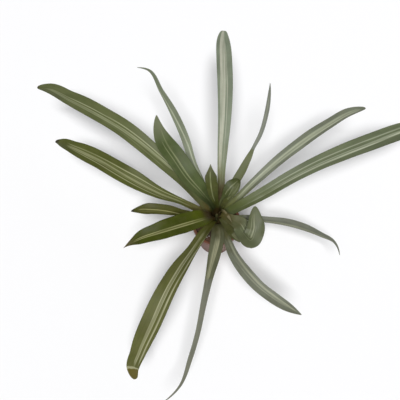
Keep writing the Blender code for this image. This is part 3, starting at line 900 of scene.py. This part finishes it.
def grow_leaf(name, slot, ring, bearing, sheath, taper, path, stripes, **looks):
    """One leaf: its blade, its skin and its place in the frame.

    Its base is given by its ring, bearing and width, its blade by rows of bearing, reach, height
    over the soil, width and, where it twists, roll, with 0 for the width of its tip. The lower its
    taper, the blunter its end. Shares run from 0 at its base to 1 at its tip.
    """
    leaf = dict(
        name=name, ring=ring, bearing=bearing, sheath=sheath, taper=taper, path=path,
        stripes=stripes, green=OLIVE, cream=CREAM, back=BACK_GREEN, base=BASE_OLIVE,
        base_share=0.12, root_share=0.001, tip=DRY_TIP, tip_share=1.2, tip_fade=0.012,
        tip_line=0.0, veins=18.0, wave=0.00035, pitch=ROW_PITCH, reseed=0.0, gloss=LEAF_GLOSS,
    )
    leaf.update(looks)
    blade = leaf_body(leaf)
    blade.data.materials.append(leaf_skin(leaf))
    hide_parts(name)
    return blade


# The outermost leaves leave the stem lowest. They are the oldest: long straps that arch out far
# and two short ones, olive on the left and greyer on the right. The grey-green of the pale leaves
# on the right and at the back is partly their own tone and partly painted sheen, set in each
# leaf's green and cream. Stripes are rows of centre across the blade at its middle, its drift and
# bend along the blade, half width, start, end, strength.
grow_leaf(
    "leaf_left_small", "leaf_olive", 7, 175, 0.009, 0.7,
    [(175, 0.034, 0.021, 0.0085), (176, 0.0545, 0.03, 0.0118), (177, 0.072, 0.032, 0.0128),
     (177.5, 0.0905, 0.026, 0)],
    [(0.36, 0.4, 0.0, 0.05, 0.24, 0.93, 0.95), (0.16, 0.45, 0.0, 0.11, 0.45, 0.95, 0.16)],
    green=(0.055, 0.058, 0.008), cream=(0.285, 0.278, 0.115), base=BASE_BROWN,
    base_share=0.25, tip=(0.03, 0.026, 0.01), tip_share=0.955,
)
grow_leaf(
    "leaf_left_long", "leaf_olive", 6, 163, 0.009, 0.5,
    [(163, 0.037, 0.032, 0.0082), (165.6, 0.061, 0.046, 0.0132), (162.2, 0.0945, 0.056, 0.0203),
     (157.9, 0.1325, 0.054, 0.02), (155.7, 0.167, 0.046, 0.0156), (154.6, 0.189, 0.037, 0.007),
     (154.6, 0.195, 0.034, 0)],
    [(0.69, -0.27, 0.3, 0.03, 0.12, 0.94, 0.9), (0.47, 0.0, 0.0, 0.08, 0.08, 0.93, 0.74),
     (0.6, -0.15, 0.0, 0.018, 0.14, 0.9, 0.2), (0.365, 0.1, 0.0, 0.02, 0.14, 0.93, 0.9),
     (0.26, 0.2, 0.0, 0.028, 0.22, 0.93, 0.85)],
    green=(0.074, 0.085, 0.018), cream=(0.285, 0.295, 0.155), base=BASE_BROWN,
    base_share=0.22, tip=(0.045, 0.04, 0.016), tip_share=0.97,
)
grow_leaf(
    "leaf_right_thin", "leaf_pale", 6, 355, 0.008, 0.8,
    [(354.5, 0.0245, 0.022, 0.007), (353, 0.048, 0.027, 0.0072), (353, 0.081, 0.024, 0.0088),
     (351, 0.1125, 0.012, 0.0058), (350, 0.127, 0.004, 0.0032), (346, 0.137, -0.008, 0)],
    [(0.8, 0.0, 0.0, 0.13, 0.25, 0.85, 0.4)],
    green=(0.13, 0.14, 0.105), base=BASE_YELLOW, base_share=0.2, cream=PALE_CREAM,
)
grow_leaf(
    "leaf_left_back_long", "leaf_olive", 5, 145, 0.011, 0.5,
    [(142.3, 0.036, 0.043, 0.0118), (142.4, 0.0715, 0.064, 0.0172), (142.3, 0.119, 0.076, 0.0195),
     (142.6, 0.156, 0.073, 0.0197), (142.7, 0.199, 0.062, 0.0178), (142.7, 0.237, 0.048, 0.0114),
     (143.6, 0.25, 0.043, 0)],
    [(0.405, -0.36, 0.81, 0.062, 0.2, 0.98, 0.66), (0.61, -0.3, 0.0, 0.028, 0.22, 0.97, 1.0),
     (0.472, -0.36, 0.81, 0.018, 0.22, 0.95, 0.95), (0.345, -0.3, 0.7, 0.018, 0.22, 0.95, 0.7),
     (0.26, 0.0, 0.0, 0.026, 0.24, 0.62, 0.4)],
    green=(0.098, 0.114, 0.042), cream=(0.285, 0.305, 0.175), base=BASE_BROWN,
    tip=(0.06, 0.05, 0.022), tip_share=0.985,
)
grow_leaf(
    "leaf_back_right", "leaf_pale", 5, 34, 0.009, 0.45,
    [(34, 0.026, 0.034, 0.0085), (35.4, 0.051, 0.05, 0.01), (36.5, 0.084, 0.061, 0.0118),
     (36.8, 0.115, 0.064, 0.0128), (37.0, 0.151, 0.061, 0.0115), (36.8, 0.178, 0.056, 0.0103),
     (35.5, 0.2005, 0.0495, 0)],
    [(0.54, 0.22, 0.0, 0.21, 0.07, 1.00, 0.74), (0.65, 0.22, 0.0, 0.04, 0.1, 0.96, 1.0),
     (0.43, 0.22, 0.0, 0.04, 0.1, 0.96, 0.95)],
    green=(0.142, 0.158, 0.11), cream=(0.365, 0.39, 0.28),
    base=BASE_YELLOW, base_share=0.26,
)
grow_leaf(
    "leaf_front_right", "leaf_pale", 5, 288, 0.009, 0.8,
    [(288, 0.031, 0.03, 0.009), (288, 0.053, 0.038, 0.0108), (291.3, 0.072, 0.042, 0.0124),
     (295.6, 0.091, 0.041, 0.0123), (300.4, 0.1078, 0.037, 0.0118), (304.3, 0.1212, 0.032, 0.009),
     (307.5, 0.133, 0.026, 0)],
    [(0.285, 0.06, 0.5, 0.09, 0.11, 0.99, 0.9), (0.55, -0.24, 0.45, 0.035, 0.11, 0.93, 0.52)],
    green=(0.142, 0.154, 0.11), cream=(0.315, 0.326, 0.23),
    base=(0.074, 0.072, 0.02), base_share=0.36,
)

# The middle rings hold the leaves that arch highest and reach furthest behind and to the right,
# two narrow ones that have turned over, and the broad one in front, whose tip has bent down. The
# pale grey-green of those behind and to the right is partly painted sheen.
grow_leaf(
    "leaf_front_thin", "leaf_pale", 4, 270, 0.01, 0.9,
    [(270, 0.028, 0.033, 0.015), (265, 0.0555, 0.043, 0.0122), (263.3, 0.0725, 0.048, 0.0085),
     (261.8, 0.1, 0.048, 0.006), (260.9, 0.128, 0.038, 0.0049), (259.6, 0.149, 0.026, 0.0046),
     (257.6, 0.175, 0.01, 0.0024), (253.5, 0.193, 0.001, 0)],
    [(0.8, 0.85, 0.0, 0.19, 0.03, 0.41, 0.85)],
    green=(0.11, 0.118, 0.066), cream=(0.34, 0.338, 0.215), back=(0.14, 0.146, 0.108),
    base=(0.052, 0.052, 0.018), base_share=0.2, turned=0.36,
)
grow_leaf(
    "leaf_right_long", "leaf_pale", 4, 10, 0.01, 0.6,
    [(6, 0.02, 0.037, 0.012), (14.8, 0.05, 0.053, 0.0142), (19.1, 0.078, 0.062, 0.0148),
     (20.9, 0.107, 0.067, 0.0165), (22, 0.141, 0.066, 0.0183), (22.8, 0.176, 0.06, 0.0202),
     (23.5, 0.214, 0.051, 0.02), (24, 0.255, 0.038, 0)],
    [(0.345, -0.03, -0.4, 0.036, 0.1, 0.96, 0.52), (0.61, -0.1, -0.65, 0.09, 0.08, 0.99, 0.46),
     (0.69, -0.12, -0.95, 0.042, 0.06, 0.99, 1.4), (0.55, -0.08, -0.6, 0.028, 0.12, 0.97, 0.6)],
    green=(0.112, 0.134, 0.073), cream=(0.415, 0.445, 0.325),
    base=(0.08, 0.1, 0.03), base_share=0.38,
)
grow_leaf(
    "leaf_back_left_thin", "leaf_pale", 4, 118, 0.008, 0.8,
    [(119, 0.03, 0.04, 0.0075), (119.5, 0.051, 0.056, 0.008), (116.2, 0.0735, 0.066, 0.0088),
     (115.2, 0.102, 0.071, 0.0084), (115.3, 0.137, 0.069, 0.0052), (115.6, 0.1765, 0.061, 0.0028),
     (118, 0.188, 0.0555, 0)],
    [(0.42, -1.2, 0.0, 0.085, 0.06, 0.8, 0.95)],
    green=(0.172, 0.196, 0.13), cream=(0.38, 0.41, 0.3),
)
grow_leaf(
    "leaf_front_left_long", "leaf_olive", 3, 240, 0.008, 0.45,
    [(240, 0.025, 0.034, 0.0105), (240.6, 0.0525, 0.044, 0.0114), (241.3, 0.078, 0.058, 0.0158),
     (241.8, 0.102, 0.064, 0.0182), (242.3, 0.133, 0.056, 0.02), (242.3, 0.1615, 0.038, 0.0156),
     (242.7, 0.176, 0.025, 0.011), (244.5, 0.182, 0.016, 0)],
    [(0.19, 0.14, -0.6, 0.046, 0.04, 0.93, 1.4), (0.45, -0.03, 0.0, 0.088, 0.05, 0.95, 0.52),
     (0.385, -0.03, 0.0, 0.025, 0.06, 0.95, 0.95), (0.535, -0.14, 0.0, 0.029, 0.06, 0.94, 0.95)],
    green=(0.09, 0.096, 0.028), cream=(0.328, 0.328, 0.198), tip=(0.1, 0.084, 0.018),
    tip_share=0.93, tip_line=0.8, base_share=0.25, gloss=0.1,
)
grow_leaf(
    "leaf_back_right_twisted", "leaf_pale", 3, 58, 0.007, 0.8,
    [(58, 0.035, 0.04, 0.0095), (57, 0.0475, 0.049, 0.009), (57.5, 0.0595, 0.0563, 0.0067, 12),
     (58.3, 0.0705, 0.0612, 0.0047, 46), (58.5, 0.084, 0.066, 0.0043, 15),
     (62, 0.111, 0.07, 0.0047), (65.3, 0.1345, 0.07, 0.003), (67, 0.148, 0.068, 0)],
    [(0.45, 0.0, 0.0, 0.17, 0.46, 0.96, 0.55)],
    green=(0.108, 0.122, 0.056), cream=PALE_CREAM, back=(0.178, 0.192, 0.16), turned=0.465,
)
grow_leaf(
    "leaf_back_long", "leaf_pale", 2, 80, 0.0076, 0.35,
    [(78, 0.019, 0.043, 0.008), (83, 0.033, 0.054, 0.0084), (84.5, 0.055, 0.067, 0.0108),
     (85, 0.084, 0.077, 0.0136), (85.9, 0.119, 0.08, 0.0162), (87, 0.1615, 0.075, 0.0174),
     (87.6, 0.204, 0.064, 0.011), (87.5, 0.213, 0.0615, 0)],
    [(0.34, 0.18, 0.0, 0.17, 0.07, 1.05, 1.1), (0.64, -0.08, 0.0, 0.042, 0.1, 0.95, 0.62)],
    green=(0.188, 0.22, 0.155), cream=(0.45, 0.455, 0.362),
    base=BASE_YELLOW, base_share=0.4, root_share=0.19,
)

# The inner leaves are the youngest full ones. They are short, broad and deep green, and the one
# on the right has buckled and curled back on itself.
grow_leaf(
    "leaf_left_broad", "leaf_deep", 2, 216, 0.007, 1.3,
    [(221, 0.0165, 0.044, 0.0165), (214.5, 0.04, 0.058, 0.0215), (211, 0.0655, 0.066, 0.019),
     (207.5, 0.086, 0.062, 0.013), (206, 0.103, 0.05, 0)],
    [(0.385, 0.04, 0.0, 0.028, 0.08, 0.93, 1.0), (0.45, 0.04, 0.0, 0.08, 0.09, 0.88, 0.38),
     (0.5, 0.03, 0.0, 0.026, 0.08, 0.9, 0.95)],
    green=(0.042, 0.054, 0.002), cream=(0.275, 0.275, 0.12), veins=22.0,
    base=(0.08, 0.102, 0.002), base_share=0.42, root_share=0.24,
    tip=(0.09, 0.076, 0.03), tip_share=0.82, tip_fade=0.16,
)
grow_leaf(
    "leaf_front_small", "leaf_olive", 2, 302, 0.006, 0.7,
    [(305, 0.0175, 0.031, 0.0085), (304, 0.029, 0.0325, 0.0105), (305, 0.0398, 0.0315, 0)],
    [(0.45, 0.0, 0.0, 0.3, 0.62, 1.2, 0.4)],
    green=(0.049, 0.053, 0.014), cream=(0.2, 0.215, 0.13),
)
grow_leaf(
    "leaf_right_curled", "leaf_olive", 1, 316, 0.0064, 0.6,
    [(323, 0.0175, 0.0375, 0.012), (324.5, 0.0275, 0.0385, 0.017), (317, 0.0375, 0.0385, 0.019),
     (314.5, 0.0468, 0.0415, 0.0195), (325.5, 0.0452, 0.0465, 0.019), (339, 0.04, 0.052, 0.014),
     (355, 0.037, 0.056, 0)],
    [(0.25, 0.0, 0.0, 0.025, 0.3, 0.92, 0.6), (0.42, -0.05, 0.0, 0.03, 0.25, 0.95, 0.95),
     (0.56, -0.2, 0.0, 0.018, 0.3, 0.8, 0.6)],
    pitch=0.0006, wave=0.0011, green=(0.086, 0.1, 0.048), cream=(0.235, 0.248, 0.152),
    base=(0.066, 0.06, 0.015), base_share=0.4,
)
# Its pale stripes are painted highlights along its curl, in part cream striping of its own.
grow_leaf(
    "leaf_heart_curled", "leaf_deep", 1, 56, 0.0056, 0.45,
    [(50, 0.0145, 0.045, 0.011), (51.5, 0.0245, 0.053, 0.016), (51.3, 0.0355, 0.0535, 0)],
    [(0.3, 0.5, 0.0, 0.05, 0.42, 0.98, 0.45), (0.62, -0.2, 0.0, 0.06, 0.26, 0.8, 0.35),
     (0.8, 0.1, 0.0, 0.05, 0.5, 0.95, 0.4), (0.8, 0.0, 0.0, 0.24, 0.2, 0.94, 0.24)],
    green=(0.046, 0.058, 0.014), cream=(0.25, 0.268, 0.15),
)
grow_leaf(
    "leaf_back_left_broad", "leaf_olive", 1, 150, 0.0064, 0.78,
    [(150, 0.017, 0.062, 0.015), (145.5, 0.034, 0.076, 0.0195), (139, 0.054, 0.084, 0.0203),
     (135, 0.0765, 0.087, 0.0172), (126.3, 0.1045, 0.086, 0)],
    [(0.48, 0.2, 0.9, 0.038, 0.08, 0.9, 0.74), (0.32, 0.12, 0.8, 0.026, 0.1, 0.8, 0.5)],
    green=(0.061, 0.083, 0.025), cream=(0.24, 0.266, 0.135), veins=24.0,
    base=(0.032, 0.044, 0.011), base_share=0.4,
    tip=(0.16, 0.178, 0.103), tip_share=0.7, tip_fade=0.24, reseed=9.0,
)
grow_leaf(
    "leaf_heart_small", "leaf_olive", 0, 20, 0.004, 0.8,
    [(20, 0.008, 0.0515, 0.0068), (26, 0.0148, 0.06, 0)],
    [(0.5, 0.0, 0.0, 0.26, 0.74, 1.2, 0.6)],
    green=(0.068, 0.075, 0.02), cream=(0.18, 0.2, 0.1), base=(0.03, 0.027, 0.008),
    base_share=0.42,
)
grow_leaf(
    "leaf_back_short", "leaf_olive", 0, 100, 0.0044, 1.1,
    [(120, 0.0105, 0.066, 0.011), (111, 0.02, 0.076, 0.0125), (104, 0.031, 0.0825, 0)],
    [(0.4, 0.12, 0.0, 0.055, 0.24, 0.92, 0.95)],
    green=(0.049, 0.058, 0.01), cream=(0.205, 0.224, 0.105),
    tip=(0.09, 0.098, 0.042), tip_share=0.86, tip_fade=0.1,
)

# A scrap of an old leaf has dried in the heart, beside the youngest leaves. It is papery and tan,
# and has shrunk to a narrow strip.
grow_leaf(
    "dry_leaf_heart", "dry_leaf", 0, 318, 0.003, 0.9,
    [(320, 0.0072, 0.047, 0.0034), (313, 0.015, 0.0485, 0.0034), (310, 0.0215, 0.0465, 0)],
    [(0.35, 0.3, 0.0, 0.3, 0.26, 0.66, 0.9), (0.5, 0.0, 0.0, 0.4, 0.68, 1.2, 0.9)],
    green=(0.066, 0.055, 0.016), cream=(0.165, 0.145, 0.078), back=(0.12, 0.098, 0.046),
    base=(0.06, 0.045, 0.018), wave=0.0003,
)

# The floor is a wide sheet painted a pale, matte grey. The plant stands on it, and it is all that
# lies behind the leaves in the photograph's view.
FLOOR_SIZE = 6.0
FLOOR_PALE = (0.845, 0.845, 0.855, 1)
FLOOR_GLOSS = 0.1

work = bmesh.new()
bmesh.ops.create_grid(work, x_segments=2, y_segments=2, size=FLOOR_SIZE / 2)
floor = make_object("floor", work)
floor_paint, tree, shader, place = start_material("floor_paint", roughness=0.9, gloss=FLOOR_GLOSS)
shader.inputs["Base Color"].default_value = FLOOR_PALE
floor.data.materials.append(floor_paint)

# The light is soft. A broad key light hangs high in front, and a weak one fills in from behind on
# the right. The room round them is dim, though the camera sees it nearly white.
ROOM_WHITE = (1.0, 1.0, 1.0, 1)
ROOM_LIGHT = 0.10
BACKDROP_LIGHT = 0.95
HEART = Vector((0.0, 0.0, 0.070))
LIGHTS = (
    ("key_light", "SUN", (-0.05, -0.98, 2.24), 3.62, math.radians(18)),
    ("fill_light", "AREA", (1.1, 0.8, 1.6), 1.5, 1.2),
)

world = bpy.data.worlds.new("studio")
world.use_nodes = True
tree = world.node_tree
seen = tree.nodes.new("ShaderNodeLightPath").outputs["Is Camera Ray"]
backdrop = tree.nodes["Background"].inputs
backdrop["Color"].default_value = ROOM_WHITE
tree.links.new(ramp(tree, seen, 0.0, 1.0, ROOM_LIGHT, BACKDROP_LIGHT), backdrop["Strength"])
bpy.context.scene.world = world


def hang_light(name, kind, place, strength, size):
    """A soft light, aimed at the plant's heart. Its size is a lamp's width or a sun's angle."""
    data = bpy.data.lights.new(name, kind)
    data.energy = strength
    if kind == "SUN":
        data.angle = size
    else:
        data.size = size
    light = bpy.data.objects.new(name, data)
    light.location = place
    light.rotation_euler = (HEART - Vector(place)).to_track_quat("-Z", "Y").to_euler()
    bpy.context.scene.collection.objects.link(light)


for row in LIGHTS:
    hang_light(*row)

# The camera stands where the photograph's stood, in front of the plant and high above it. The
# plant's heart lies a little to the right of and below the middle of its square picture.
CAMERA_RISE = math.radians(66)
CAMERA_DISTANCE = 0.600
PIXEL = 0.00105
HEART_PIXEL = (217, 215)
FRAME_PIXELS = 400
SENSOR = 36.0
NEAREST_SEEN = 0.01

ahead = Vector((0.0, math.cos(CAMERA_RISE), -math.sin(CAMERA_RISE)))
above = Vector((0.0, math.sin(CAMERA_RISE), math.cos(CAMERA_RISE)))
right = Vector((1.0, 0.0, 0.0))
half_frame = FRAME_PIXELS / 2
camera_data = bpy.data.cameras.new("camera")
camera_data.sensor_width = SENSOR
camera_data.lens = SENSOR * CAMERA_DISTANCE / (PIXEL * FRAME_PIXELS)
camera_data.clip_start = NEAREST_SEEN
camera = bpy.data.objects.new("camera", camera_data)
spot = HEART - ahead * CAMERA_DISTANCE
spot -= right * (HEART_PIXEL[0] - half_frame) * PIXEL
spot += above * (HEART_PIXEL[1] - half_frame) * PIXEL
camera.location = spot
camera.rotation_euler = ahead.to_track_quat("-Z", "Y").to_euler()
bpy.context.scene.collection.objects.link(camera)
bpy.context.scene.camera = camera
bpy.context.scene.view_settings.view_transform = "Standard"
